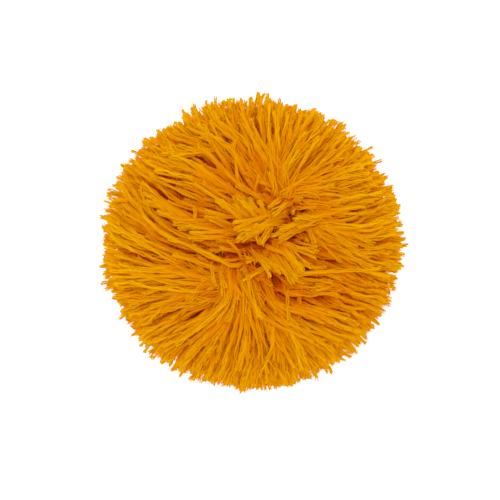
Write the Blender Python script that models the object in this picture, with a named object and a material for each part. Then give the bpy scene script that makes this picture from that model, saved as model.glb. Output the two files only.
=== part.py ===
"""A yarn pom pom: one ball of cut yarn locks that fan out of a bound middle.

Every lock is a four-sided shoot of the bound middle. On the upper side the locks part along a
spine and lie over away from it. On the lower side they stand shorter and rest level on the
surface. The model is in metres, with +Z up and the origin on that surface, under the middle.
"""

import math
import random

import bmesh
import bpy
from mathutils import Matrix, Vector

# Driving dimensions.
BALL_DIAMETER = 0.090
MIDDLE_HEIGHT = 0.0410
BOUND_MIDDLE_DIAMETER = 0.040

# The locks: a grid of GRID x GRID on each of six sides gives 294 of them.
GRID = 7
GRID_SIDES = (
    Matrix.Identity(3),
    Matrix.Rotation(math.radians(90), 3, "X"),
    Matrix.Rotation(math.radians(180), 3, "X"),
    Matrix.Rotation(math.radians(270), 3, "X"),
    Matrix.Rotation(math.radians(90), 3, "Y"),
    Matrix.Rotation(math.radians(270), 3, "Y"),
)

# One row for each ring of a lock, from root to tip:
# (share of the way out, share of its cell that it fills, share of its lean, twist in degrees)
LOCK_RINGS = (
    (0.00, 0.82, 0.00, 0.0),
    (0.42, 0.82, 0.25, 2.0),
    (0.76, 0.74, 0.66, 5.0),
    (1.00, 0.45, 1.00, 20.0),
)
UNEVEN_CELLS = 0.16  # how far the corners of the cells wander, in cells
UNEVEN_LENGTH = 0.025  # the scissors' error, as a share of the lock's reach
UNEVEN_LEAN = 1.4  # degrees
LEVEL_END = 0.0006  # an end this near the surface is levelled onto it

# The spine is where the upper locks part. It runs over the ball between these two directions.
SPINE_ENDS = (Vector((0.25, 0.39, 0.886)).normalized(), Vector((-0.08, -0.36, 0.930)).normalized())
PARTED = 9.0  # degrees that the tips beside the spine lie over
COMBED = 17.0  # degrees more that they lie over a third of the way down to the waist
STRADDLE = 14.0  # degrees from the spine within which a lock leans as one
SPINE_DEPTH = 0.07  # how much lower the tips end beside the spine, as a share of the reach
SPINE_REACH = 30.0  # degrees from the spine over which that fades
SPLAYED = 4.0  # degrees that the weight spreads the lowest locks

# Tufts: neighbouring tips lean together.
TUFTS = 40
TUFT_PULL = 0.18
TUFT_WANDER = 0.35  # how far the tufts stray from even places, as a share of their spacing
TUFT_SEED = 11
LOCK_SEED = 5

YARN_COLOUR = (0.70, 0.25, 0.004, 1.0)
YARN_ROUGHNESS = 0.95
SHARP_EDGE = math.radians(50)

BALL_RADIUS = BALL_DIAMETER / 2
CORE_RADIUS = BOUND_MIDDLE_DIAMETER / 2
MIDDLE = Vector((0, 0, MIDDLE_HEIGHT))
DOWN = Vector((0, 0, -1))
QUARTER_TURN = math.radians(90)
CELL = QUARTER_TURN / GRID
SPINE_NORMAL = SPINE_ENDS[0].cross(SPINE_ENDS[1]).normalized()


def clear_scene():
    """Removes what the scene starts with."""
    for obj in list(bpy.data.objects):
        bpy.data.objects.remove(obj)


def even_directions(count):
    """Directions spread evenly over a sphere, on the golden spiral."""
    golden_turn = math.pi * (3 - math.sqrt(5))
    for i in range(count):
        z = 1 - (2 * i + 1) / count
        ring = math.sqrt(1 - z * z)
        yield Vector((ring * math.cos(i * golden_turn), ring * math.sin(i * golden_turn), z))


def wandered(direction, step, dice):
    """A direction moved by up to a step each way."""
    return (direction + Vector(dice.uniform(-step, step) for _ in range(3))).normalized()


def smooth(share):
    """An even ramp from 0 to 1 that starts and ends gently."""
    share = min(max(share, 0.0), 1.0)
    return share * share * (3 - 2 * share)


def nearest_on_spine(direction):
    """The spine's point that is nearest to a direction."""
    first, last = SPINE_ENDS
    flat = (direction - SPINE_NORMAL * direction.dot(SPINE_NORMAL)).normalized()
    is_past_first = first.cross(flat).dot(SPINE_NORMAL) < 0
    is_past_last = flat.cross(last).dot(SPINE_NORMAL) < 0
    if is_past_first or is_past_last:
        return max(SPINE_ENDS, key=direction.dot)
    return flat


def away_from(source, direction):
    """The way along the ball's surface that leads straight away from a source."""
    along = direction * direction.dot(source) - source
    return along.normalized() if along.length > 0 else Vector()


def parting_lean(away, height):
    """How far, in radians, a tip lies over, at its angles from the spine and above the waist."""
    share = away / (away + height)
    crest = 1 / 3
    bump = share * (1 - share) ** 2 / (crest * (1 - crest) ** 2)
    lean = math.radians(PARTED) * (1 - share) ** 2 + math.radians(COMBED) * bump
    return lean * (away + height) / QUARTER_TURN


def combed(root, direction):
    """How a direction of one lock's cell moves as the lock leans over, on the upper side."""
    source = nearest_on_spine(root)
    away = source.angle(root)
    own_way = away_from(source, root)
    from_root = (direction - root).dot(own_way)
    vertex_way = away_from(nearest_on_spine(direction), direction)
    way = own_way.lerp(vertex_way, smooth(away / math.radians(STRADDLE) - 1))
    height = math.asin(direction.z)
    return way * math.tan(parting_lean(max(away + from_root, 0.0), height))


def splayed(direction):
    """How a direction moves as the weight spreads the lowest locks."""
    share = min(DOWN.angle(direction) / QUARTER_TURN, 1.0)
    return away_from(DOWN, direction) * math.radians(SPLAYED) * math.sin(math.pi * share)


def reach(direction):
    """How far from the middle the tips are cut in a direction."""
    away = direction.angle(nearest_on_spine(direction))
    lowered = SPINE_DEPTH * math.exp(-((away / math.radians(SPINE_REACH)) ** 2))
    cut = BALL_RADIUS * (1 - lowered)
    if direction.z < 0:
        cut = min(cut, MIDDLE_HEIGHT / -direction.z)
    return cut


class Lock:
    """Where one lock goes: its cell of the ball, and how it leans."""

    def __init__(self, corners, tufts, dice):
        self.corners = corners
        self.root = sum(corners, Vector()).normalized()
        self.tuft = max(tufts, key=self.lean(self.root, 1.0).dot)
        step = math.radians(UNEVEN_LEAN)
        self.waver = Vector(dice.uniform(-step, step) for _ in range(3))
        self.cut = 1 - abs(dice.gauss(0, UNEVEN_LENGTH / 2))
        self.is_lowest = self.root.angle(DOWN) < CELL / 2

    def lean(self, direction, share):
        """A direction of this lock's cell, once the lock leans over by that share."""
        moved = combed(self.root, direction) if direction.z > 0 else splayed(direction)
        return (direction + moved * share).normalized()

    def place(self, direction, share):
        """The same, with the tuft's pull and the lock's own waver."""
        leant = self.lean(direction, share)
        if self.is_lowest:
            return leant
        gathered = leant.lerp(self.tuft, TUFT_PULL * share)
        return (gathered + self.waver * share).normalized()

    def ring(self, out, fill, lean, twist):
        """The four points of one ring of the lock."""
        centre = self.place(self.root, lean)
        distance = CORE_RADIUS + (reach(centre) * self.cut - CORE_RADIUS) * out
        turn = Matrix.Rotation(math.radians(twist), 3, self.root)
        for corner in self.corners:
            filled = turn @ self.root.lerp(corner, fill)
            yield MIDDLE + self.place(filled.normalized(), lean) * distance


def rest_on_surface(points):
    """Levels the end of a lock that comes down to the surface."""
    is_resting = min(point.z for point in points) < LEVEL_END
    for point in points:
        point.z = 0.0 if is_resting else point.z


def cell_grid(dice):
    """The corners of every lock's cell, as loops of four directions."""
    corners = {}

    def corner(side, column, row):
        # Equal angles keep the cells alike from the middle of a side to its edge.
        across = math.tan(QUARTER_TURN * (column / GRID - 0.5))
        up = math.tan(QUARTER_TURN * (row / GRID - 0.5))
        direction = (side @ Vector((across, up, -1))).normalized()
        key = tuple(round(x, 4) for x in direction)
        if key not in corners:
            is_lowest = direction.angle(DOWN) < CELL
            corners[key] = wandered(direction, 0 if is_lowest else UNEVEN_CELLS * CELL, dice)
        return corners[key]

    for side in GRID_SIDES:
        for column in range(GRID):
            for row in range(GRID):
                yield [
                    corner(side, column, row),
                    corner(side, column, row + 1),
                    corner(side, column + 1, row + 1),
                    corner(side, column + 1, row),
                ]


def make_yarn():
    """The yarn's plain material."""
    yarn = bpy.data.materials.new("mustard_yarn")
    yarn.use_nodes = True
    shader = yarn.node_tree.nodes["Principled BSDF"]
    shader.inputs["Base Color"].default_value = YARN_COLOUR
    shader.inputs["Roughness"].default_value = YARN_ROUGHNESS
    shader.inputs["Metallic"].default_value = 0.0
    return yarn


def make_pom_pom():
    """The bound middle with all of its locks, as one closed solid."""
    tuft_dice = random.Random(TUFT_SEED)
    spread = TUFT_WANDER / math.sqrt(TUFTS)
    tufts = [wandered(d, spread, tuft_dice) for d in even_directions(TUFTS)]
    dice = random.Random(LOCK_SEED)
    mesh = bmesh.new()
    core_verts = {}

    def core_vert(direction):
        key = tuple(direction)
        if key not in core_verts:
            core_verts[key] = mesh.verts.new(MIDDLE + direction * CORE_RADIUS)
        return core_verts[key]

    for corners in cell_grid(dice):
        face = mesh.faces.new([core_vert(corner) for corner in corners])
        lock = Lock(corners, tufts, dice)
        for ring in LOCK_RINGS:
            face = bmesh.ops.extrude_discrete_faces(mesh, faces=[face])["faces"][0]
            points = list(lock.ring(*ring))
            if ring is LOCK_RINGS[-1]:
                rest_on_surface(points)
            for vert, point in zip(face.verts, points):
                vert.co = point
    bmesh.ops.recalc_face_normals(mesh, faces=mesh.faces)
    data = bpy.data.meshes.new("pom_pom")
    mesh.to_mesh(data)
    mesh.free()
    data.shade_smooth()
    data.set_sharp_from_angle(angle=SHARP_EDGE)
    data.materials.append(make_yarn())
    pom_pom = bpy.data.objects.new("pom_pom", data)
    bpy.context.scene.collection.objects.link(pom_pom)
    return pom_pom


clear_scene()
make_pom_pom()
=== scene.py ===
"""The looks of a yarn pom pom: every strand of cut yarn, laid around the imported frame.

The strands grow out of a bound middle and end on the ball. On top they lie over as the ball was
combed, and underneath they stand shorter and end on the surface. Neighbouring strands keep
together in locks and in smaller wisps. Each strand is five twisted plies that open at its cut
end, and fine fibres stand off it. All lengths are in metres, +Z is up, and +Y is up in the view
from above.
"""

import math

import bpy
import numpy as np
from bpy.props import FloatProperty, FloatVectorProperty, IntProperty, PointerProperty
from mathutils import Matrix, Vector


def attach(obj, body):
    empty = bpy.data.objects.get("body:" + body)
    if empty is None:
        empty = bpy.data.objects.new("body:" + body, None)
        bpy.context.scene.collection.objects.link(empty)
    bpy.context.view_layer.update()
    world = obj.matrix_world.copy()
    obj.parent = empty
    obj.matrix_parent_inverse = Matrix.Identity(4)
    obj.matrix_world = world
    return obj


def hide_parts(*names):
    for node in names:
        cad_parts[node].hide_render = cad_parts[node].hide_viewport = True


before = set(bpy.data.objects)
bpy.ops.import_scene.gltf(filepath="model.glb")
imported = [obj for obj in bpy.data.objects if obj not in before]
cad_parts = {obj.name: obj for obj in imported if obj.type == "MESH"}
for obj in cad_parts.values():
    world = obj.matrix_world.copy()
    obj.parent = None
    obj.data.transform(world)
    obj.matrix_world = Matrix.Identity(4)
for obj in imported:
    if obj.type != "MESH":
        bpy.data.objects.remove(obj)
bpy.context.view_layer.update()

bl_info = {
    "name": "Yarn Pom Pom",
    "version": (1, 0, 0),
    "blender": (4, 5, 0),
    "location": "View3D > Sidebar > Pom Pom",
    "description": "Builds a combed yarn pom pom strand by strand, with its studio stage",
    "category": "Add Mesh",
}

BODY = "root"
NODE = "pom_pom"
MM = 0.001
GOLDEN_TURN = math.pi * (3 - math.sqrt(5))
TAU = 2 * math.pi
UP = np.array((0.0, 0.0, 1.0))
WHITE = (1.0, 1.0, 1.0, 1.0)

PLIES = 5  # in a strand
SIDES = 3  # of a ply

# How the top was combed, as seen from above. Each line is a height up from the middle in mm, then
# places from left to right along it: mm right of the middle, and the way that the cut ends point
# there, in degrees from the right, turning left.
COMBED = (
    (40.0, ((-12, 118), (2, 95))),
    (37.0, ((-4, 108), (10, 88))),
    (33.0, ((-25, 125), (-9, 172), (10, 97), (14.5, 68), (20.5, 52))),
    (28.5, ((-30, 155), (-23, 200), (-18, 182), (-9, 130), (1, 116), (25.5, 44))),
    (23.7, ((-24, 180), (-19, 168), (-12, 155), (-9, 115), (-4, 150), (1, 118), (5, 118), (9, 120))),
    (23.7, ((11.5, 100), (14, 48), (19, 46), (24, 28))),
    (21.2, ((-21, 172), (-15, 164), (-6, 150), (-1, 157), (4, 120), (8, 122), (15, 50), (21, 22))),
    (18.7, ((-24, 180), (-18, 160), (-9, 168), (-4, 174), (1, 160), (4, 143), (9, 113), (14, 28))),
    (17.5, ((19, 14), (24, 8), (31, 6), (38, 10))),
    (16.2, ((-21, 180), (-11, 160), (-6, 163), (-1, 172), (3, 150), (7, 175), (12, 22), (16, 2))),
    (13.7, ((-36, 136), (-30, 138), (-24, 178), (-17, 168), (-9, 138), (-5, 140), (-1, 142))),
    (13.7, ((6, 212), (9, 212), (14, -36), (19, 0), (24, 6), (30, 5))),
    (11.2, ((-21, 188), (-16, 188), (-11, 170), (-6, 145), (2, 150), (7, 217), (14, -17), (21, 0))),
    (8.8, ((-41, 148), (-24, 180), (-14, 180), (-9, 166), (-3, 154), (4, 208), (8, 215), (12, 225))),
    (8.8, ((15, 190), (19, 188), (27, 8), (39, 16))),
    (6.2, ((-32, 150), (-21, 172), (-16, 184), (-11, 165), (-6, 178), (-2, 192), (1, 208), (5, 212))),
    (6.2, ((9, 222), (12, 208), (16, 196), (21, 187))),
    (3.8, ((-24, 184), (-14, 172), (-6, 186), (-2, 208), (2, 200), (5, 238), (9, 212), (13, 190))),
    (3.8, ((21, -30), (30, -35))),
    (1.2, ((-39, 168), (-24, 165), (-17, 168), (-9, 174), (-4, 205), (0, 190), (4, 240), (8, 200))),
    (1.2, ((12, -5), (16, -15), (22, -38), (33, -33))),
    (-1.3, ((-21, 160), (-13, 165), (-6, 158), (-2, 175), (3, 190), (8, -5), (12, -15), (17, -20))),
    (-3.8, ((-34, 168), (-24, 165), (-16, 158), (-9, 152), (-4, 153), (0, 165), (5, -15), (11, -20))),
    (-3.8, ((15, -33), (20, -27), (25, -18), (33, -12), (42, 8))),
    (-6.2, ((-28, 165), (-21, 172), (-13, 153), (-7, 146), (-3, 148), (1, -28), (5, -30), (9, -18))),
    (-6.2, ((12, -40), (15, -45), (21, -22))),
    (-8.8, ((-36, 168), (-18, 167), (-14, 164), (-10, 296), (-7, 305), (-3, 322), (1, -25), (6, -35))),
    (-8.8, ((12, -48), (15, -60), (19, -8), (24, -13), (36, -20))),
    (-11.2, ((-24, 167), (-16, 178), (-11, 296), (-5, 300), (-1, 305), (4, -62), (9, -68), (13, -62))),
    (-11.2, ((20, 4), (30, -12))),
    (-13.7, ((-30, 180), (-19, 172), (-14, 184), (-8, 290), (-4, 306), (0, 302), (4, -50), (8, -5))),
    (-13.7, ((12, -10), (17, 0), (24, -10))),
    (-16.2, ((-36, 193), (-24, 184), (-18, 200), (-11, 190), (-6.5, 240), (-3, 300), (1, 308))),
    (-16.2, ((4, -47), (9, 0), (13, -10), (20, -12), (30, -38), (36, -20))),
    (-19.5, ((-24, 202), (-17, 200), (-11, 200), (-6, 245), (-2, 297), (2, 295), (6, -46), (9, -33))),
    (-19.5, ((14, -2), (20, -2), (26, -12))),
    (-23.0, ((-30, 207), (-22, 206), (-15, 214), (-10, 234), (-5, 258), (-1, 288), (2, 303), (6, -46))),
    (-23.0, ((10, -42), (15, -6), (21, -20), (26, -28))),
    (-28.0, ((-33, 220), (-19.5, 226), (-13.5, 224), (-8, 255), (0, 278), (8, -52), (19, -36), (26, -34))),
    (-33.0, ((-27, 225), (-10, 262), (2, 272), (10, -60), (18, -45))),
    (-38.0, ((-15, 245), (-4, 262), (6, 280))),
)
COMBED_REACH = 3.4 * MM  # how far a place's way reaches
SEEN_FROM = 0.354  # how far over the middle the places in these tables are seen from

# Where the cut ends lie lower and leave a dark gap: mm right and up, and how wide in mm.
HOLLOWS = (
    (1.5, 15.5, 3.6),
    (12.2, 12.2, 1.5),
    (0.0, -1.3, 2.2),
    (11.0, 2.0, 2.4),
    (17.0, 2.2, 2.4),
    (11.5, -3.0, 2.4),
    (-16.6, 9.3, 1.8),
    (-21.5, 2.5, 2.6),
    (-25.0, 7.3, 1.6),
    (-18.0, -9.8, 2.4),
    (-11.0, -11.0, 1.8),
    (-6.5, -7.5, 2.0),
    (7.0, -10.8, 2.6),
    (8.0, -15.2, 2.6),
    (14.5, -16.6, 2.0),
    (3.4, -13.8, 1.6),
    (4.5, -20.0, 2.0),
    (-15.0, -6.0, 1.8),
    (-19.0, 14.2, 1.8),
)

# Tufts and single strands that lie over the others. Each row is where the cut ends are, in mm right
# and up, the way they point, how much of them shows in mm, how many strands, and how wide in mm.
OVERLYING = (
    # right, up, way, shown, strands, width
    (-0.8, 13.8, 135, 6.0, 2, 0.9),
    (2.2, 13.2, 122, 4.0, 2, 1.0),
    (-3.2, 13.2, 143, 5.5, 2, 1.2),
    (-5.2, 14.4, 137, 7.0, 3, 1.4),
    (-6.4, 12.0, 145, 6.0, 2, 1.2),
    (-10.0, 13.2, 138, 7.0, 3, 1.5),
    (-5.4, 4.4, 204, 12.0, 5, 2.2),
    (-4.0, 1.0, 215, 11.0, 4, 1.8),
    (-2.6, 2.8, 210, 11.0, 3, 1.4),
    (0.6, 4.2, 208, 9.0, 3, 1.6),
    (5.5, 10.4, 218, 6.0, 5, 3.4),
    (3.2, 0.3, 244, 5.5, 3, 1.0),
    (1.5, 0.2, 266, 3.0, 1, 0.4),
    (7.6, 1.4, 206, 10.0, 5, 2.4),
    (9.5, 4.2, 201, 12.0, 5, 2.4),
    (14.0, 6.4, 196, 11.0, 4, 2.4),
    (19.2, 0.3, 284, 4.5, 1, 0.4),
    (20.0, -3.6, -22, 10.0, 3, 1.8),
    (16.4, -8.2, -50, 8.0, 4, 3.0),
    (13.4, -10.6, -55, 8.0, 4, 3.2),
    (9.5, -8.6, -31, 7.0, 3, 1.5),
    (6.2, -10.2, -50, 5.0, 2, 1.0),
    (-3.0, -12.0, 212, 8.5, 1, 0.4),
    (-20.5, -18.2, 229, 8.5, 2, 0.7),
    (-8.2, -14.4, 288, 5.0, 2, 0.8),
    (-11.2, -12.8, 292, 4.0, 2, 0.8),
    (3.6, -23.6, 301, 11.0, 3, 1.4),
    (11.4, -24.6, 270, 8.5, 1, 0.4),
    (-7.6, -24.0, 252, 7.5, 2, 0.8),
    (-17.3, 12.0, 74, 3.6, 1, 0.4),
    (-23.0, 6.3, 180, 8.0, 5, 2.8),
    (-19.0, 2.6, 181, 8.0, 6, 3.8),
    (-15.0, 9.2, 178, 8.0, 3, 1.8),
    (-26.0, 1.6, 160, 7.0, 1, 0.4),
    (18.6, -14.0, 184, 7.0, 3, 1.4),
    (-26.0, 26.5, 200, 10.0, 3, 1.6),
    (-30.0, 12.5, 136, 9.0, 3, 1.6),
    (-30.5, -20.0, 200, 9.0, 3, 1.6),
    (25.0, 18.0, 10, 9.0, 3, 1.6),
    (-34.5, 17.6, 146, 12.0, 4, 2.4),
    (-32.0, 13.6, 150, 11.0, 5, 2.8),
    (-28.5, 10.0, 156, 9.0, 4, 2.4),
)

# The bands of strands, each its own piece: its name, the angles from straight up that it spans, and
# how many rings each ply has there, more where the strands curve over.
BANDS = (
    ("crown_yarn", 0, 42, 12),
    ("shoulder_yarn", 42, 64, 12),
    ("rim_yarn", 64, 84, 10),
    ("waist_yarn", 84, 103, 8),
    ("lower_yarn", 103, 130, 7),
    ("base_yarn", 130, 180, 7),
)
OVERLYING_RINGS = 14
FIBRE_RINGS = 12  # of the strands that the fibres stand on
BRIDGING_RINGS = 25  # of the strands that are searched for ones over a hollow

# The seeds of the random draws.
BALL_SEED = 7
STRAND_SEED = 8
OVERLYING_SEED = 33
FIBRE_SEED = 51
PLY_SEED = 100  # and the next ones, one for each band
OVERLYING_PLY_SEED = 200

RING_CROWDING = 1.8  # how much closer the rings stand towards the cut end
BENDING = 0.40  # the share of a strand over which it bends to the way that it lies

# How flat the strands lie, in degrees from straight out.
LOW_LIE = 14.0  # on the lower side
COMBED_LIE = 69.0  # more than that where they are combed over
CROWN_LIE = 24.0  # less than that at the very top

# Strands that would pass over a hollow this near the ball's surface, within this share of its
# width, are left out.
BRIDGING_DEPTH = 8.0  # mm
BRIDGING_SHARE = 0.48

STRAYS = 0.03  # the share of strands that go their own way
WAVES = (1.1, 2.3, 4.1, 6.5)  # the soft bends of a strand, in waves over its length

# The cut end of a ply: how far the plies of a strand end apart, and how blunt each is.
PLY_CUT = 0.00018
PLY_POINT = 0.35

FIBRE_RADIUS = 0.00006
FIBRE_LENGTHS = (0.0008, 0.0030)  # the shortest and the longest

# The tones of the plies and of the fibres' streaks, as shares of the strand's own colour.
PLY_TONES = (0.86, 1.08)
STREAK_TONES = (0.84, 1.09)
STREAKS_ALONG = 1200.0  # to a metre of strand
# Painted shade: yarn deep under the ball's surface is painted darker and redder, towards the root colour.
FULL_SHADE_DEPTH = 8.0  # mm under the ball's surface, where the painted shade of deep yarn is full and strands take the root colour
NO_SHADE_DEPTH = -0.6  # where the painted shade ends and strands have their own colour
# Painted shade: crevices that ambient occlusion finds are painted darker and redder too.
CREVICE_REACH = 0.003  # how near other yarn counts as closing a place in
CREVICE_SHARES = (0.05, 0.55)  # how open a place is in the deepest crevice, and in none
CREVICE_SHADE_TONE = 0.52  # how much of the strand's own colour the painted shade leaves in the deepest crevice

# The studio's lamps: name, place, size and watts.
SOFTBOXES = (
    ("overhead_softbox", (-0.05, 0.10, 1.2), 0.35, 8.0),
    ("side_softbox", (0.6, -0.5, 1.1), 0.8, 0.8),
)
PICTURE_WIDTH = 500  # pixels
FRAMING = (-2, -6)  # how far the view's middle is right of and above the ball's, in pixels


# ---- Sizes and colours ----


class PomPomSizes(bpy.types.PropertyGroup):
    """The sizes of the ball and of its yarn."""

    ball_diameter: FloatProperty(
        name="Ball diameter", description="Across the ball, at its waist", default=0.0890, unit="LENGTH"
    )
    oval: FloatProperty(
        name="Oval", description="How much narrower the ball is from front to back", default=0.030
    )
    middle_height: FloatProperty(
        name="Middle height",
        description="From the surface up to the bound middle",
        default=0.0410,
        unit="LENGTH",
    )
    middle_diameter: FloatProperty(
        name="Middle diameter",
        description="Across the bound middle of the winding",
        default=0.0560,
        unit="LENGTH",
    )
    crown_drop: FloatProperty(
        name="Crown drop",
        description="How much lower the combed top ends than the waist reaches",
        default=0.0028,
        unit="LENGTH",
    )
    hollow_depth: FloatProperty(
        name="Hollow depth",
        description="How much lower strands end in the gaps between tufts",
        default=0.0060,
        unit="LENGTH",
    )
    combed_off: FloatProperty(
        name="Combed off", description="Share of the cut ends combed off the top to the sides", default=0.42
    )
    strands: IntProperty(name="Strands", description="Cut ends all over the ball", default=3900, min=100)
    locks: IntProperty(name="Locks", description="Groups of strands combed as one", default=90, min=10)
    wisps: IntProperty(name="Wisps", description="Small groups that keep together", default=900, min=10)
    ply_radius: FloatProperty(
        name="Ply radius", description="Half the thickness of one ply", default=0.00022, unit="LENGTH"
    )
    ply_offset: FloatProperty(
        name="Ply offset",
        description="From the strand's middle to the middle of a ply",
        default=0.00042,
        unit="LENGTH",
    )
    twist_length: FloatProperty(
        name="Twist length",
        description="Along the strand for one turn of a ply",
        default=0.0220,
        unit="LENGTH",
    )
    uneven_cut: FloatProperty(
        name="Uneven cut",
        description="How far the scissors strayed from a true ball",
        default=0.0007,
        unit="LENGTH",
    )
    fibres: IntProperty(name="Fibres", description="Fine fibres that stand off", default=26000, min=0)


class PomPomColours(bpy.types.PropertyGroup):
    """The colours of the yarn, and of the painted shade deep between its strands."""

    tip: FloatVectorProperty(
        name="Tip",
        description="The yellowest of the strands",
        subtype="COLOR",
        size=4,
        default=(0.99, 0.745, 0.0, 1.0),
    )
    warm: FloatVectorProperty(
        name="Warm strands",
        description="The most orange of the strands",
        subtype="COLOR",
        size=4,
        default=(0.99, 0.645, 0.0, 1.0),
    )
    # Painted shade: the colour that deep yarn and crevices are painted towards, standing in for the shade
    # between the strands.
    root: FloatVectorProperty(
        name="Root",
        description="The yarn deep between the strands",
        subtype="COLOR",
        size=4,
        default=(0.82, 0.08, 0.0, 1.0),
    )


class StageSettings(bpy.types.PropertyGroup):
    """The floor, the lights and the camera."""

    floor_colour: FloatVectorProperty(
        name="Floor",
        description="The plain pale floor",
        subtype="COLOR",
        size=4,
        default=(0.96, 0.96, 0.96, 1.0),
    )
    floor_glow: FloatProperty(
        name="Floor glow", description="How brightly the floor is lit from underneath", default=1.6
    )
    backdrop_strength: FloatProperty(
        name="Backdrop", description="How bright the white backdrop shows", default=2.0
    )
    air_colour: FloatVectorProperty(
        name="Air",
        description="The colour of the light that comes from all around",
        subtype="COLOR",
        size=4,
        default=(1.0, 0.62, 0.35, 1.0),
    )
    air_strength: FloatProperty(
        name="Air strength", description="The light that comes from all around", default=0.10
    )
    fill_colour: FloatVectorProperty(
        name="Fill",
        description="The warm light that the yarn's depths send back",
        subtype="COLOR",
        size=3,
        default=(1.0, 0.14, 0.02),
    )
    fill_strength: FloatProperty(
        name="Fill strength", description="The light of the wide warm dome overhead", default=2.1
    )
    exposure: FloatProperty(name="Exposure", description="The view's exposure in stops", default=-0.55)
    gamma: FloatProperty(name="Gamma", description="The view's gamma, softer when higher", default=1.22)
    bounces: IntProperty(name="Bounces", description="How often light passes on between strands", default=12)
    lens: FloatProperty(name="Lens", description="The camera's focal length in mm", default=85.0)
    view_width: FloatProperty(
        name="View width",
        description="What the view spans at the ball's middle",
        default=0.1500,
        unit="LENGTH",
    )


# ---- Helpers ----


def unit(vectors):
    """The same directions, each of length 1."""
    return vectors / np.maximum(np.linalg.norm(vectors, axis=-1, keepdims=True), 1e-12)


def smooth(share):
    """An even ramp from 0 to 1 that starts and ends gently."""
    share = np.clip(share, 0.0, 1.0)
    return share * share * (3 - 2 * share)


def fading(angles, start, over):
    """An even ramp from 1 down to 0, from a start and over so many degrees."""
    return 1 - smooth((angles - start) / over)


def even_directions(count):
    """Directions spread evenly over a sphere, on the golden spiral."""
    steps = np.arange(count)
    z = 1 - (2 * steps + 1) / count
    ring = np.sqrt(1 - z * z)
    return np.stack((ring * np.cos(steps * GOLDEN_TURN), ring * np.sin(steps * GOLDEN_TURN), z), axis=1)


def scattered(count, share, dice):
    """Directions spread evenly over a sphere, each strayed by a share of their spacing."""
    return unit(even_directions(count) + dice.normal(0, share * math.sqrt(4 * math.pi / count), (count, 3)))


def way(degrees):
    """The ways in the view from above at those angles, turning left from the right."""
    angle = np.radians(degrees)
    return np.stack((np.cos(angle), np.sin(angle)), axis=-1)


def turned(ways, degrees):
    """Ways in the view from above, each turned left by so many degrees."""
    across = np.stack((-ways[:, 1], ways[:, 0]), axis=1)
    turn = np.radians(degrees)[:, None]
    return ways * np.cos(turn) + across * np.sin(turn)


def from_top(directions):
    """How many degrees directions are from straight up."""
    return np.degrees(np.arccos(np.clip(directions[:, 2], -1, 1)))


def as_seen(points):
    """Where points around the middle show in the view from above, which spreads the nearer ones."""
    return points[..., :2] / (1 - points[..., 2:3] / SEEN_FROM)


def combed_way(places):
    """The way that cut ends point at places seen from above, shorter where neighbours disagree."""
    rows = np.array([(right, up, degrees) for up, row in COMBED for right, degrees in row], float)
    ways = way(rows[:, 2])
    apart = np.linalg.norm(places[:, None, :] - rows[None, :, :2] * MM, axis=2) / COMBED_REACH
    weight = np.exp(-0.5 * apart**2) + 1e-4 * np.exp(-apart)
    return (weight[:, :, None] * ways[None]).sum(axis=1) / weight.sum(axis=1, keepdims=True)


def along_surface(directions, ways):
    """Unit vectors along the ball's surface that look, from above, as though they went those ways."""
    steep = np.maximum(directions[:, 2], 0.30)
    fall = -(ways * directions[:, :2]).sum(axis=1) / steep
    along = np.concatenate((ways, fall[:, None]), axis=1)
    along -= directions * (along * directions).sum(axis=1, keepdims=True)
    return unit(along)


# ---- Strand paths ----


def ring_shares(rings):
    """How far along a strand its rings are, closer together towards the cut end."""
    return 1 - (1 - np.linspace(0, 1, rings)) ** RING_CROWDING


class Strands:
    """A set of strands: where their cut ends are, how they lie, and how they were cut."""

    def __init__(self, tips, lie, bend_start, reach, start, turn=None, shift=0.0, ways=None):
        self.tips = tips
        self.lie = lie
        self.bend_start = bend_start
        self.reach = reach
        self.start = start
        self.turn = turn
        self.shift = shift
        self.ways = ways

    def paths(self, sizes, rings):
        """The points along every strand, followed from its cut end in to the middle."""
        shares = ring_shares(rings)
        steps = np.diff(shares)[None]
        halfway = ((shares[1:] + shares[:-1]) / 2)[None]
        lean = np.radians(self.lie)[:, None] * smooth((halfway - self.bend_start[:, None]) / BENDING)
        length = (self.reach - self.start) / (steps * np.cos(lean)).sum(axis=1)
        steps = steps * length[:, None]
        direction = self.tips.copy()
        distance = self.reach.copy()
        points = [direction * distance[:, None]]
        for k in reversed(range(rings - 1)):
            sideways = steps[:, k] * np.sin(lean[:, k]) / distance
            direction = unit(direction - self.heading(direction, sizes) * sideways[:, None])
            distance = distance - steps[:, k] * np.cos(lean[:, k])
            points.append(direction * distance[:, None])
        return np.stack(points[::-1], axis=1)

    def heading(self, direction, sizes):
        """The way each strand leans where it has got to."""
        if self.ways is not None:
            return along_surface(direction, self.ways)
        ways = turned(combed_way(as_seen(direction * sizes.ball_diameter / 2) + self.shift), self.turn)
        upper = along_surface(direction, ways) * np.linalg.norm(ways, axis=1, keepdims=True)
        down = unit(direction * direction[:, 2:3] - UP)
        spin = np.radians(self.turn * 3)[:, None]
        lower = down * np.cos(spin) + np.cross(direction, down) * np.sin(spin)
        share = smooth((direction[:, 2:3] + 0.10) / 0.35)
        return upper * share + lower * (1 - share)


def lie_angle(directions):
    """How flat strands lie, in degrees from straight out, by how far they are from the top."""
    angles = from_top(directions)
    return LOW_LIE + COMBED_LIE * fading(angles, 58, 38) - CROWN_LIE * fading(angles, 16, 20)


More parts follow.
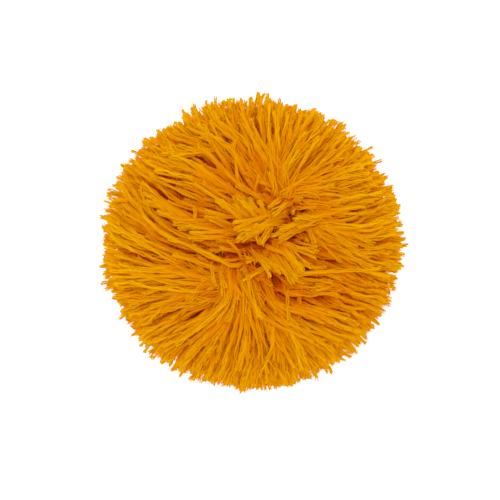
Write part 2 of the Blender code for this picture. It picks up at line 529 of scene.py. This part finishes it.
def reach_of(directions, sizes):
    """How far from the middle strands end: lower on the combed top, and lower yet in its hollows."""
    radius = sizes.ball_diameter / 2 * (1 - sizes.oval * directions[:, 1] ** 2)
    reach = radius - sizes.crown_drop * fading(from_top(directions), 35, 40)
    rows = np.array(HOLLOWS)
    places = as_seen(directions * radius[:, None])
    apart = np.linalg.norm(places[:, None] - rows[None, :, :2] * MM, axis=2)
    sunk = np.exp(-((apart / (rows[None, :, 2] * MM * 0.5)) ** 2)).max(axis=1) * (directions[:, 2] > 0)
    return reach - sunk * sizes.hollow_depth


def above_surface(reach, directions, sizes):
    """The same reach, cut level where it would go through the surface underneath."""
    to_surface = (sizes.middle_height - sizes.ply_radius) / np.maximum(-directions[:, 2], 1e-3)
    return np.minimum(reach, to_surface)


class Ball:
    """The strands that fan out all over the ball, in locks and wisps."""

    def __init__(self, sizes):
        dice = np.random.default_rng(BALL_SEED)
        self.sizes = sizes
        tips = scattered(sizes.strands, 0.30, dice)
        combed_off = sizes.combed_off * fading(from_top(tips), 48, 30)
        tips = tips[dice.random(len(tips)) >= combed_off]
        self.wisps = scattered(sizes.wisps, 0.22, dice)
        locks = scattered(sizes.locks, 0.14, dice)
        lock = np.argmax(self.wisps @ locks.T, axis=1)
        self.turn = dice.normal(0, 9, sizes.locks)[lock] + dice.normal(0, 4, sizes.wisps)
        self.lie = dice.normal(0, 2, sizes.locks)[lock] + dice.normal(0, 1.5, sizes.wisps)
        lock_shift = dice.normal(0, 1.2 * MM, (sizes.locks, 2))
        self.shift = lock_shift[lock] + dice.normal(0, 0.8 * MM, (sizes.wisps, 2))
        self.cut = dice.normal(0, sizes.uneven_cut, sizes.wisps)
        self.bend = dice.uniform(0.12, 0.34, sizes.wisps)
        self.lay(tips)  # all of them first, to find those that pass over a hollow
        self.lay(tips[~self.bridging(self.paths(BRIDGING_RINGS))])

    def lay(self, tips):
        """Sets the cut ends, and the wisp that each is in."""
        self.tips = tips
        self.wisp = np.argmax(tips @ self.wisps.T, axis=1)

    def grown(self, rings, tips, of, turn, lie, bend, cut):
        """The points along strands that belong to those wisps, with their own differences."""
        sizes = self.sizes
        lies = np.clip(lie_angle(tips) + self.lie[of] + lie, 0, 87)
        bends = np.clip(self.bend[of] + bend, 0.02, 0.5)
        reach = reach_of(tips, sizes) + np.minimum(self.cut[of] + cut, 0.002)
        reach = above_surface(reach, tips, sizes)
        start = np.full(len(tips), sizes.middle_diameter / 2 - MM)
        strands = Strands(tips, lies, bends, reach, start, self.turn[of] + turn, self.shift[of])
        return strands.paths(sizes, rings)

    def paths(self, rings):
        """Every strand's points, once its wisp has drawn it in and it has wavered."""
        dice = np.random.default_rng(STRAND_SEED)
        count = len(self.tips)
        everyone = np.arange(len(self.wisps))
        leaders = self.grown(rings, self.wisps, everyone, 0.0, 0.0, 0.0, 0.0)[self.wisp]
        is_stray = dice.random(count) < STRAYS
        turn = dice.normal(0, 6, count) + is_stray * dice.normal(0, 40, count)
        turn = turn * (1 + 1.2 * fading(from_top(self.tips), 14, 26))
        cut = dice.normal(-0.0003, self.sizes.uneven_cut, count) + is_stray * dice.random(count) * 0.0015
        bend, lie = dice.normal(0, 0.08, count), dice.normal(0, 2, count)
        paths = self.grown(rings, self.tips, self.wisp, turn, lie, bend, cut)
        pull = dice.uniform(0.0, 0.06, len(self.wisps))[self.wisp] * dice.uniform(0.6, 1.2, count) * ~is_stray
        share = pull[:, None, None] * smooth(ring_shares(rings) * 1.1 - 0.1)[None, :, None]
        scale = np.linalg.norm(paths, axis=2, keepdims=True) / np.linalg.norm(leaders, axis=2, keepdims=True)
        return wavering(paths + (leaders * scale - paths) * share, dice, 0.00038)

    def bridging(self, paths):
        """Which strands pass over a hollow that they don't end in, near the surface."""
        rows = np.array(HOLLOWS)
        is_near = (depth_of(paths, self.sizes) < BRIDGING_DEPTH) & (paths[:, :, 2] > 0)
        apart = np.linalg.norm(as_seen(paths)[:, :, None] - rows[None, None, :, :2] * MM, axis=3)
        is_over = (apart < rows[None, None, :, 2] * MM * BRIDGING_SHARE) & is_near[:, :, None]
        return is_over.any(axis=(1, 2))


def wavering(paths, dice, most):
    """Adds the soft bends of loose yarn, which grow towards the cut ends."""
    count, rings, _ = paths.shape
    shares = ring_shares(rings)[None, :, None]
    for waves in WAVES:
        phase = dice.uniform(0, TAU, (count, 1, 3))
        size = dice.normal(0, most / waves**0.7, (count, 1, 3))
        paths = paths + size * np.sin(TAU * waves * shares * 0.5 + phase) * shares**1.5
    return paths


def overlying_paths(sizes, rings):
    """The points along the strands that lie over the others."""
    dice = np.random.default_rng(OVERLYING_SEED)
    radius = sizes.ball_diameter / 2
    sets = []
    for right, up, heading, shown, count, width in OVERLYING:
        offset = (np.linspace(-0.5, 0.5, count) if count > 1 else np.zeros(1)) * width
        offset = (offset + dice.normal(0, 0.15, count) * width)[:, None]
        back = dice.normal(0, 0.7, (count, 1)) * min(width, 1)
        flat = (np.array((right, up)) + offset * way(heading + 90) + back * way(heading)) * MM / radius
        flat = flat * (1 - np.sqrt(1 - 0.85 * (flat**2).sum(axis=1, keepdims=True)) * radius / SEEN_FROM)
        tips = np.concatenate((flat, np.sqrt(1 - (flat**2).sum(axis=1, keepdims=True))), axis=1)
        ways = way(heading + dice.normal(0, 4, count) + offset[:, 0] / max(width, 1) * 8)
        # The more of a strand shows, the flatter it lies and the nearer its middle it bends.
        lie = np.clip(60 + 1.6 * shown + dice.normal(0, 2, count), 0, 80)
        bend = np.clip(0.58 - 0.028 * shown + dice.normal(0, 0.03, count), 0.02, 0.60)
        reach = radius - sizes.crown_drop + dice.normal(0.0016, 0.0004, count)
        start = np.full(count, sizes.middle_diameter / 2)
        sets.append(Strands(tips, lie, bend, reach, start, ways=ways).paths(sizes, rings))
    return wavering(np.concatenate(sets), dice, 0.0003)


# ---- Yarn meshes ----


def strand_frames(paths):
    """The way along each strand at each point, and two ways across it that turn as little as they can."""
    along = unit(np.gradient(paths, axis=1))
    normal = [unit(np.cross(along[:, 0], np.array((0.31, 0.57, 0.76))))]
    for k in range(1, paths.shape[1]):
        last = normal[-1]
        flat = last - along[:, k] * (last * along[:, k]).sum(axis=1, keepdims=True)
        normal.append(unit(flat))
    normal = np.stack(normal, axis=1)
    return along, normal, np.cross(along, normal)


def lengths(paths):
    """How long each strand is up to each of its points."""
    gaps = np.linalg.norm(np.diff(paths, axis=1), axis=2)
    return np.concatenate((np.zeros((len(paths), 1)), np.cumsum(gaps, axis=1)), axis=1)


def ply_points(paths, sizes, dice):
    """The points of every ply, by strand, ply, ring and side, and the soft normals there."""
    count, rings, _ = paths.shape
    along, normal, across = strand_frames(paths)
    shares = ring_shares(rings)
    turn_length = sizes.twist_length * dice.uniform(0.7, 1.5, (count, 1))
    twist = dice.uniform(0, TAU, (count, 1)) + TAU * lengths(paths) / turn_length
    opened = 1 + smooth((shares - 0.80) / 0.20)[None, :] * dice.uniform(0.0, 0.2, (count, 1))
    filled = 1 + 0.6 * smooth((0.75 - shares) / 0.36)[None, :]  # thicker inside, where strands press
    points = np.empty((count, PLIES, rings, SIDES, 3))
    normals = np.empty_like(points)
    outward = unit(paths)
    for ply in range(PLIES):
        turn = twist + TAU * ply / PLIES + dice.normal(0, 0.35, (count, 1))
        turn = turn + dice.normal(0, 0.25, (count, rings))
        roll = turn[:, :1]  # a ply winds round the strand without rolling, so its sides never cross
        side = np.cos(turn)[..., None] * normal + np.sin(turn)[..., None] * across
        away = sizes.ply_offset * dice.uniform(0.5, 1.25, (count, 1)) * dice.normal(1, 0.28, (count, rings))
        middle = paths + side * (away * opened * filled)[..., None]
        cut = dice.normal(0, PLY_CUT, (count, 1)) * smooth((shares - 0.90) / 0.10)
        middle = middle + along * cut[..., None]
        thick = sizes.ply_radius * dice.uniform(0.8, 1.15, (count, 1)) * dice.normal(1, 0.08, (count, rings))
        thick[:, -1] *= PLY_POINT
        for corner in range(SIDES):
            spin = roll + TAU * corner / SIDES
            out = np.cos(spin)[..., None] * normal + np.sin(spin)[..., None] * across
            points[:, ply, :, corner] = middle + out * (thick * filled)[..., None]
            normals[:, ply, :, corner] = unit(out + side * 0.45 + outward * 0.25)
    normals[:, :, -1] = unit(normals[:, :, -1] * 0.6 + (along[:, -1] + outward[:, -1] * 0.5)[:, None, None])
    return points, normals


def tube_faces(tubes, rings, sides):
    """The corners of the faces of so many closed tubes: the walls, four to a face, and the ends."""
    ring, side = np.meshgrid(np.arange(rings - 1), np.arange(sides), indexing="ij")
    here = (ring * sides + side).ravel()
    beside = (ring * sides + (side + 1) % sides).ravel()
    walls = np.stack((here, beside, beside + sides, here + sides), axis=1)
    root = np.arange(sides)[::-1]
    tip = np.arange(sides) + (rings - 1) * sides
    corners = np.concatenate((walls.ravel(), root, tip))
    sizes = np.concatenate((np.full(len(walls), 4), (sides, sides)))
    corners = corners[None] + (np.arange(tubes) * rings * sides)[:, None]
    return corners.ravel(), np.tile(sizes, tubes)


def in_patches(patch, count):
    """A patch of a flat map, given a square of its own for each of so many copies."""
    columns = math.ceil(math.sqrt(count))
    cell = np.stack((np.arange(count) % columns, np.arange(count) // columns), axis=1)
    return ((patch[None] + cell[:, None, None]) / columns).reshape(-1, 2)


def tube_map(tubes, rings, sides):
    """Where each corner of those faces lies on a flat map."""
    ring, side = np.meshgrid(np.arange(rings - 1), np.arange(sides), indexing="ij")
    low = np.stack((side.ravel() / sides, ring.ravel() / (rings - 1)), axis=1)[:, None]
    square = np.array(((0, 0), (1, 0), (1, 1), (0, 1)), float)
    walls = (low + square / (sides, rings - 1)) * (0.86, 0.80) + (0.07, 0.05)
    end = way(np.arange(sides) * 360 / sides) * (0.15, 0.03)
    root, tip = end[::-1] + (0.25, 0.92), end + (0.75, 0.92)
    return in_patches(np.concatenate((walls.reshape(-1, 2), root, tip)), tubes)


def add_mesh(name, points, corners, face_sizes, uv, values):
    """An object made of arrays: its points, its faces, its flat map and its named values per point."""
    mesh = bpy.data.meshes.new(name)
    mesh.vertices.add(len(points))
    mesh.vertices.foreach_set("co", points.astype(np.float32).ravel())
    mesh.loops.add(len(corners))
    mesh.loops.foreach_set("vertex_index", corners.astype(np.int32))
    mesh.polygons.add(len(face_sizes))
    mesh.polygons.foreach_set("loop_start", (np.cumsum(face_sizes) - face_sizes).astype(np.int32))
    mesh.update(calc_edges=True)
    mesh.polygons.foreach_set("use_smooth", face_sizes == 4)
    mesh.uv_layers.new(name="OFBake").uv.foreach_set("vector", uv.astype(np.float32).ravel())
    for key, value in values.items():
        mesh.attributes.new(key, "FLOAT", "POINT").data.foreach_set("value", value.astype(np.float32).ravel())
    piece = bpy.data.objects.new(name, mesh)
    bpy.context.scene.collection.objects.link(piece)
    return piece


def yarn_piece(name, paths, sizes, seed):
    """One piece of the ball: the plies of those strands, in the yarn's material."""
    dice = np.random.default_rng(seed)
    count, rings, _ = paths.shape
    points, normals = ply_points(paths, sizes, dice)
    points += UP * sizes.middle_height
    points[..., 2] = np.maximum(points[..., 2], 0.0)
    shape = (count, PLIES, rings, SIDES)
    around = np.arange(SIDES) * TAU / SIDES
    values = {
        "depth": depth_of(points - UP * sizes.middle_height, sizes),
        "along": np.broadcast_to(lengths(paths)[:, None, :, None], shape),
        "around_x": np.broadcast_to(np.cos(around), shape),
        "around_y": np.broadcast_to(np.sin(around), shape),
        "strand_tone": np.broadcast_to(dice.random((count, 1, 1, 1)), shape),
        "ply_tone": np.broadcast_to(dice.random((count, PLIES, 1, 1)), shape),
    }
    tubes = count * PLIES
    corners, face_sizes = tube_faces(tubes, rings, SIDES)
    uv = tube_map(tubes, rings, SIDES)
    piece = add_mesh(name, points.reshape(-1, 3), corners, face_sizes, uv, values)
    piece.data.normals_split_custom_set_from_vertices(normals.reshape(-1, 3).astype(np.float32))
    finish_piece(piece)
    return piece


def depth_of(paths, sizes):
    """How deep points lie under the ball that the cut ends would make without the combing, in mm."""
    directions = unit(paths)
    radius = sizes.ball_diameter / 2 * (1 - sizes.oval * directions[..., 1] ** 2)
    return (radius - np.linalg.norm(paths, axis=-1)) / MM


def fibre_piece(name, paths, sizes):
    """Fine fibres that stand off the outer part of the strands, each a three-sided needle."""
    dice = np.random.default_rng(FIBRE_SEED)
    count = sizes.fibres
    along, normal, across = strand_frames(paths)
    strand = dice.integers(0, len(paths), count)
    rings = paths.shape[1]
    ring = dice.integers(rings // 2, rings - 1, count)
    share = dice.random((count, 1))
    base = paths[strand, ring] * (1 - share) + paths[strand, ring + 1] * share
    turn = dice.uniform(0, TAU, (count, 1))
    side = np.cos(turn) * normal[strand, ring] + np.sin(turn) * across[strand, ring]
    onward = along[strand, ring]
    lean = dice.uniform(0.1, 1.5, (count, 1))
    tip = unit(side + onward * lean + dice.normal(0, 0.3, (count, 3)))
    base = base + side * sizes.ply_radius * 1.4
    length = dice.uniform(*FIBRE_LENGTHS, (count, 1))
    points = np.empty((count, 4, 3))
    wide = unit(np.cross(tip, side + 0.01))
    tall = np.cross(tip, wide)
    for corner in range(3):
        angle = TAU * corner / 3
        points[:, corner] = base + (wide * math.cos(angle) + tall * math.sin(angle)) * FIBRE_RADIUS
    points[:, 3] = base + tip * length
    points += UP * sizes.middle_height
    points[..., 2] = np.maximum(points[..., 2], 0.0)
    # A needle's faces, and a quarter of its square of the flat map for each.
    needle = np.array(((0, 2, 1), (0, 1, 3), (1, 2, 3), (2, 0, 3)))
    corners = (needle.ravel()[None] + (np.arange(count) * 4)[:, None]).ravel()
    corner = np.array(((0.06, 0.06), (0.40, 0.06), (0.06, 0.40)))
    patch = np.concatenate([corner + (x, y) for x in (0, 0.5) for y in (0, 0.5)])
    shape = (count, 4)
    values = {
        # The fibres count as 0.3 mm deep, so the painted shade of depth darkens them only a little.
        "depth": np.broadcast_to(0.3, shape),
        "along": np.broadcast_to(0.0, shape),
        "around_x": np.broadcast_to(0.0, shape),
        "around_y": np.broadcast_to(0.0, shape),
        "strand_tone": np.broadcast_to(dice.random((count, 1)), shape),
        "ply_tone": np.broadcast_to(0.8, shape),
    }
    face_sizes = np.full(count * 4, 3)
    piece = add_mesh(name, points.reshape(-1, 3), corners, face_sizes, in_patches(patch, count), values)
    finish_piece(piece)
    return piece


def finish_piece(piece):
    """Puts a piece in the yarn's material and on the frame."""
    piece.data.materials.append(yarn_material())
    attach(piece, BODY)
    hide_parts(NODE)


# ---- Materials ----


def add_node(tree, kind, **settings):
    """A node of a material's tree, with its settings."""
    node = tree.nodes.new(kind)
    for key, value in settings.items():
        setattr(node, key, value)
    return node


def mapped(tree, source, low, high, to_low, to_high):
    """A value moved from one range to another, held at its ends."""
    node = add_node(tree, "ShaderNodeMapRange", clamp=True)
    tree.links.new(source, node.inputs["Value"])
    for key, value in (("From Min", low), ("From Max", high), ("To Min", to_low), ("To Max", to_high)):
        node.inputs[key].default_value = value
    return node.outputs["Result"]


def mixed(tree, share, first, second, blend="MIX"):
    """Two colours mixed. Each is a socket or a plain colour, and the share a socket or a number."""
    node = add_node(tree, "ShaderNodeMix", data_type="RGBA", blend_type=blend)
    for key, value in ((0, share), (6, first), (7, second)):
        if isinstance(value, bpy.types.NodeSocket):
            tree.links.new(value, node.inputs[key])
        else:
            node.inputs[key].default_value = value
    return node.outputs[2]


def attribute(tree, name):
    """A named value of the mesh."""
    return add_node(tree, "ShaderNodeAttribute", attribute_name=name).outputs["Fac"]


def scaled(tree, source, by):
    """A value times a number."""
    node = add_node(tree, "ShaderNodeMath", operation="MULTIPLY")
    tree.links.new(source, node.inputs[0])
    node.inputs[1].default_value = by
    return node.outputs[0]


def grey(tree, value):
    """A tone as a colour. Its red varies less, so darker yarn is redder."""
    node = add_node(tree, "ShaderNodeCombineColor")
    for key in ("Green", "Blue"):
        tree.links.new(value, node.inputs[key])
    tree.links.new(mapped(tree, value, 0.8, 1.1, 0.95, 1.0), node.inputs["Red"])
    return node.outputs["Color"]


def fibre_streaks(tree):
    """Streaks of fine fibres that run along each ply."""
    place = add_node(tree, "ShaderNodeCombineXYZ")
    for key, name, by in (("X", "around_x", 1.6), ("Y", "around_y", 1.6), ("Z", "along", STREAKS_ALONG)):
        tree.links.new(scaled(tree, attribute(tree, name), by), place.inputs[key])
    noise = add_node(tree, "ShaderNodeTexNoise", noise_dimensions="4D")
    noise.inputs["Scale"].default_value = 1.0
    noise.inputs["Detail"].default_value = 3.0
    tree.links.new(place.outputs["Vector"], noise.inputs["Vector"])
    tree.links.new(scaled(tree, attribute(tree, "ply_tone"), 90.0), noise.inputs["W"])
    return noise.outputs["Fac"]


def yarn_material():
    """Soft plied yarn: each strand its own tone, with streaks of fibre, and painted shade that turns deep
    yarn and crevices darker and redder.
    """
    if "soft_yarn" in bpy.data.materials:
        return bpy.data.materials["soft_yarn"]
    colours = bpy.context.scene.pom_pom_colours
    material = bpy.data.materials.new("soft_yarn")
    material.use_nodes = True
    tree = material.node_tree
    shader = tree.nodes["Principled BSDF"]
    colour = mixed(tree, attribute(tree, "strand_tone"), tuple(colours.warm), tuple(colours.tip))
    streaks = fibre_streaks(tree)
    for value in (
        mapped(tree, attribute(tree, "ply_tone"), 0.0, 1.0, *PLY_TONES),
        mapped(tree, streaks, 0.3, 0.7, *STREAK_TONES),
    ):
        colour = mixed(tree, 1.0, colour, grey(tree, value), "MULTIPLY")
    # Painted shade: an ambient occlusion node finds crevices, which are painted darker and redder.
    crevices = add_node(tree, "ShaderNodeAmbientOcclusion", samples=4)
    crevices.inputs["Distance"].default_value = CREVICE_REACH
    unshaded_share = add_node(tree, "ShaderNodeMath", operation="MULTIPLY")
    # Painted shade: yarn deeper under the ball's surface is painted towards the root colour.
    depth = mapped(tree, attribute(tree, "depth"), FULL_SHADE_DEPTH, NO_SHADE_DEPTH, 0.0, 1.0)
    crevice = mapped(tree, crevices.outputs["AO"], *CREVICE_SHARES, CREVICE_SHADE_TONE, 1.0)
    tree.links.new(depth, unshaded_share.inputs[0])
    tree.links.new(crevice, unshaded_share.inputs[1])
    # The painted shade mixes the root colour in where the yarn lies deep or in a crevice.
    colour = mixed(tree, unshaded_share.outputs[0], tuple(colours.root), colour)
    tree.links.new(colour, shader.inputs["Base Color"])
    bump = add_node(tree, "ShaderNodeBump")
    bump.inputs["Strength"].default_value = 0.5
    bump.inputs["Distance"].default_value = 0.00008
    tree.links.new(streaks, bump.inputs["Height"])
    tree.links.new(bump.outputs["Normal"], shader.inputs["Normal"])
    shader.inputs["Roughness"].default_value = 0.95
    shader.inputs["Specular IOR Level"].default_value = 0.0
    shader.inputs["Sheen Weight"].default_value = 0.45
    shader.inputs["Sheen Roughness"].default_value = 0.5
    shader.inputs["Sheen Tint"].default_value = (1.0, 0.42, 0.0, 1.0)
    return material


def floor_material(stage):
    """The pale floor's matte material, which glows a little, like a lit table."""
    material = bpy.data.materials.new("pale_floor")
    material.use_nodes = True
    shader = material.node_tree.nodes["Principled BSDF"]
    shader.inputs["Base Color"].default_value = stage.floor_colour
    shader.inputs["Roughness"].default_value = 1.0
    shader.inputs["Specular IOR Level"].default_value = 0.0
    shader.inputs["Emission Color"].default_value = WHITE
    shader.inputs["Emission Strength"].default_value = stage.floor_glow
    return material


# ---- The stage ----


def lay_floor(stage):
    """A wide floor, a hair under the ball."""
    bpy.ops.mesh.primitive_plane_add(size=6.0, location=(0, 0, -0.0002))
    floor = bpy.context.object
    floor.name = "studio_floor"
    floor.data.materials.append(floor_material(stage))


def fill_air(scene, stage):
    """The soft light from all around, in front of a white backdrop."""
    world = bpy.data.worlds.new("soft_studio")
    world.use_nodes = True
    tree = world.node_tree
    air = tree.nodes["Background"]
    air.inputs["Color"].default_value = stage.air_colour
    air.inputs["Strength"].default_value = stage.air_strength
    backdrop = add_node(tree, "ShaderNodeBackground")
    backdrop.inputs["Color"].default_value = WHITE
    backdrop.inputs["Strength"].default_value = stage.backdrop_strength
    blend = add_node(tree, "ShaderNodeMixShader")
    seen = add_node(tree, "ShaderNodeLightPath").outputs["Is Camera Ray"]
    tree.links.new(seen, blend.inputs["Fac"])
    tree.links.new(air.outputs["Background"], blend.inputs[1])
    tree.links.new(backdrop.outputs["Background"], blend.inputs[2])
    tree.links.new(blend.outputs["Shader"], tree.nodes["World Output"].inputs["Surface"])
    scene.world = world


def hang_lamps(scene, stage, aim):
    """A wide warm dome of light overhead, and the softboxes, turned to what they light."""
    fill = bpy.data.lights.new("warm_fill", "SUN")
    fill.angle = math.pi
    fill.color = stage.fill_colour
    fill.energy = stage.fill_strength
    scene.collection.objects.link(bpy.data.objects.new("warm_fill", fill))
    for name, place, size, power in SOFTBOXES:
        lamp = bpy.data.lights.new(name, "AREA")
        lamp.size = size
        lamp.energy = power
        light = bpy.data.objects.new(name, lamp)
        light.location = place
        light.rotation_euler = (aim - Vector(place)).to_track_quat("-Z", "Y").to_euler()
        scene.collection.objects.link(light)


def place_camera(scene, stage, height):
    """The camera, straight above the ball and looking down."""
    lens = bpy.data.cameras.new("camera")
    lens.lens = stage.lens
    distance = stage.view_width / 2 / (lens.sensor_width / 2 / stage.lens)
    pixel = stage.view_width / PICTURE_WIDTH
    right, up = FRAMING
    camera = bpy.data.objects.new("camera", lens)
    camera.location = (right * pixel, up * pixel, height + distance)
    scene.collection.objects.link(camera)
    scene.camera = camera


# ---- Operators ----


class BindMiddle(bpy.types.Operator):
    """Makes the bound middle that closes the view between the strands"""

    bl_idname = "pom_pom.bind_middle"
    bl_label = "Bind the middle"

    def execute(self, context):
        sizes = context.scene.pom_pom_sizes
        bpy.ops.mesh.primitive_uv_sphere_add(
            segments=64,
            ring_count=48,
            radius=sizes.middle_diameter / 2,
            location=(0, 0, sizes.middle_height),
        )
        middle = context.object
        middle.name = "bound_middle"
        middle.data.transform(middle.matrix_world)
        middle.matrix_world.identity()
        middle.data.uv_layers[0].name = "OFBake"
        # Painted shade: the middle lies deeper than the painted shade's full depth, so it is painted wholly
        # in the root colour.
        depth = (sizes.ball_diameter - sizes.middle_diameter) / 2 / MM
        depths = np.full(len(middle.data.vertices), depth, np.float32)
        middle.data.attributes.new("depth", "FLOAT", "POINT").data.foreach_set("value", depths)
        middle.data.shade_smooth()
        finish_piece(middle)
        return {"FINISHED"}


class LayYarn(bpy.types.Operator):
    """Lays the strands that fan out of the middle, a piece for each band of the ball"""

    bl_idname = "pom_pom.lay_yarn"
    bl_label = "Lay the yarn"

    def execute(self, context):
        sizes = context.scene.pom_pom_sizes
        ball = Ball(sizes)
        angles = from_top(ball.tips)
        for seed, (name, low, high, rings) in enumerate(BANDS, PLY_SEED):
            here = (angles >= low) & (angles < high)
            if not here.any():
                raise RuntimeError(f"{name} has no strands")
            yarn_piece(name, ball.paths(rings)[here], sizes, seed)
        return {"FINISHED"}


class LayOverlyingTufts(bpy.types.Operator):
    """Lays the tufts and single strands that lie over the others on top"""

    bl_idname = "pom_pom.lay_overlying_tufts"
    bl_label = "Lay the overlying tufts"

    def execute(self, context):
        sizes = context.scene.pom_pom_sizes
        paths = overlying_paths(sizes, OVERLYING_RINGS)
        yarn_piece("overlying_tufts", paths, sizes, OVERLYING_PLY_SEED)
        return {"FINISHED"}


class RaiseFibres(bpy.types.Operator):
    """Raises the fine fibres that stand off the yarn"""

    bl_idname = "pom_pom.raise_fibres"
    bl_label = "Raise the fibres"

    def execute(self, context):
        sizes = context.scene.pom_pom_sizes
        fibre_piece("loose_fibres", Ball(sizes).paths(FIBRE_RINGS), sizes)
        return {"FINISHED"}


class SetStage(bpy.types.Operator):
    """Sets the pale floor, the soft lights and the camera"""

    bl_idname = "pom_pom.set_stage"
    bl_label = "Set the stage"

    def execute(self, context):
        scene = context.scene
        stage = scene.pom_pom_stage
        height = scene.pom_pom_sizes.middle_height
        scene.view_settings.view_transform = "Standard"
        scene.view_settings.gamma = stage.gamma
        scene.view_settings.exposure = stage.exposure
        scene.cycles.diffuse_bounces = stage.bounces
        lay_floor(stage)
        fill_air(scene, stage)
        hang_lamps(scene, stage, Vector((0, 0, height)))
        place_camera(scene, stage, height)
        return {"FINISHED"}


class PomPomPanel(bpy.types.Panel):
    """The pom pom's steps, in the order in which they are made"""

    bl_idname = "VIEW3D_PT_pom_pom"
    bl_label = "Yarn Pom Pom"
    bl_space_type = "VIEW_3D"
    bl_region_type = "UI"
    bl_category = "Pom Pom"

    def draw(self, context):
        for step in STEPS:
            self.layout.operator(step.bl_idname)
        for group in SETTINGS:
            settings = getattr(context.scene, group)
            for key in settings.bl_rna.properties.keys():
                if key not in ("rna_type", "name"):
                    self.layout.prop(settings, key)


SETTINGS = {
    "pom_pom_sizes": PomPomSizes,
    "pom_pom_colours": PomPomColours,
    "pom_pom_stage": StageSettings,
}
STEPS = (BindMiddle, LayYarn, LayOverlyingTufts, RaiseFibres, SetStage)


def register():
    for group in (*SETTINGS.values(), *STEPS, PomPomPanel):
        bpy.utils.register_class(group)
    for key, group in SETTINGS.items():
        setattr(bpy.types.Scene, key, PointerProperty(type=group))


def unregister():
    for key in SETTINGS:
        delattr(bpy.types.Scene, key)
    for group in (PomPomPanel, *STEPS, *SETTINGS.values()):
        bpy.utils.unregister_class(group)


def main():
    """Builds the pom pom and its stage."""
    register()
    bpy.ops.pom_pom.bind_middle()
    bpy.ops.pom_pom.lay_yarn()
    bpy.ops.pom_pom.lay_overlying_tufts()
    bpy.ops.pom_pom.raise_fibres()
    bpy.ops.pom_pom.set_stage()


if __name__ == "__main__":
    main()
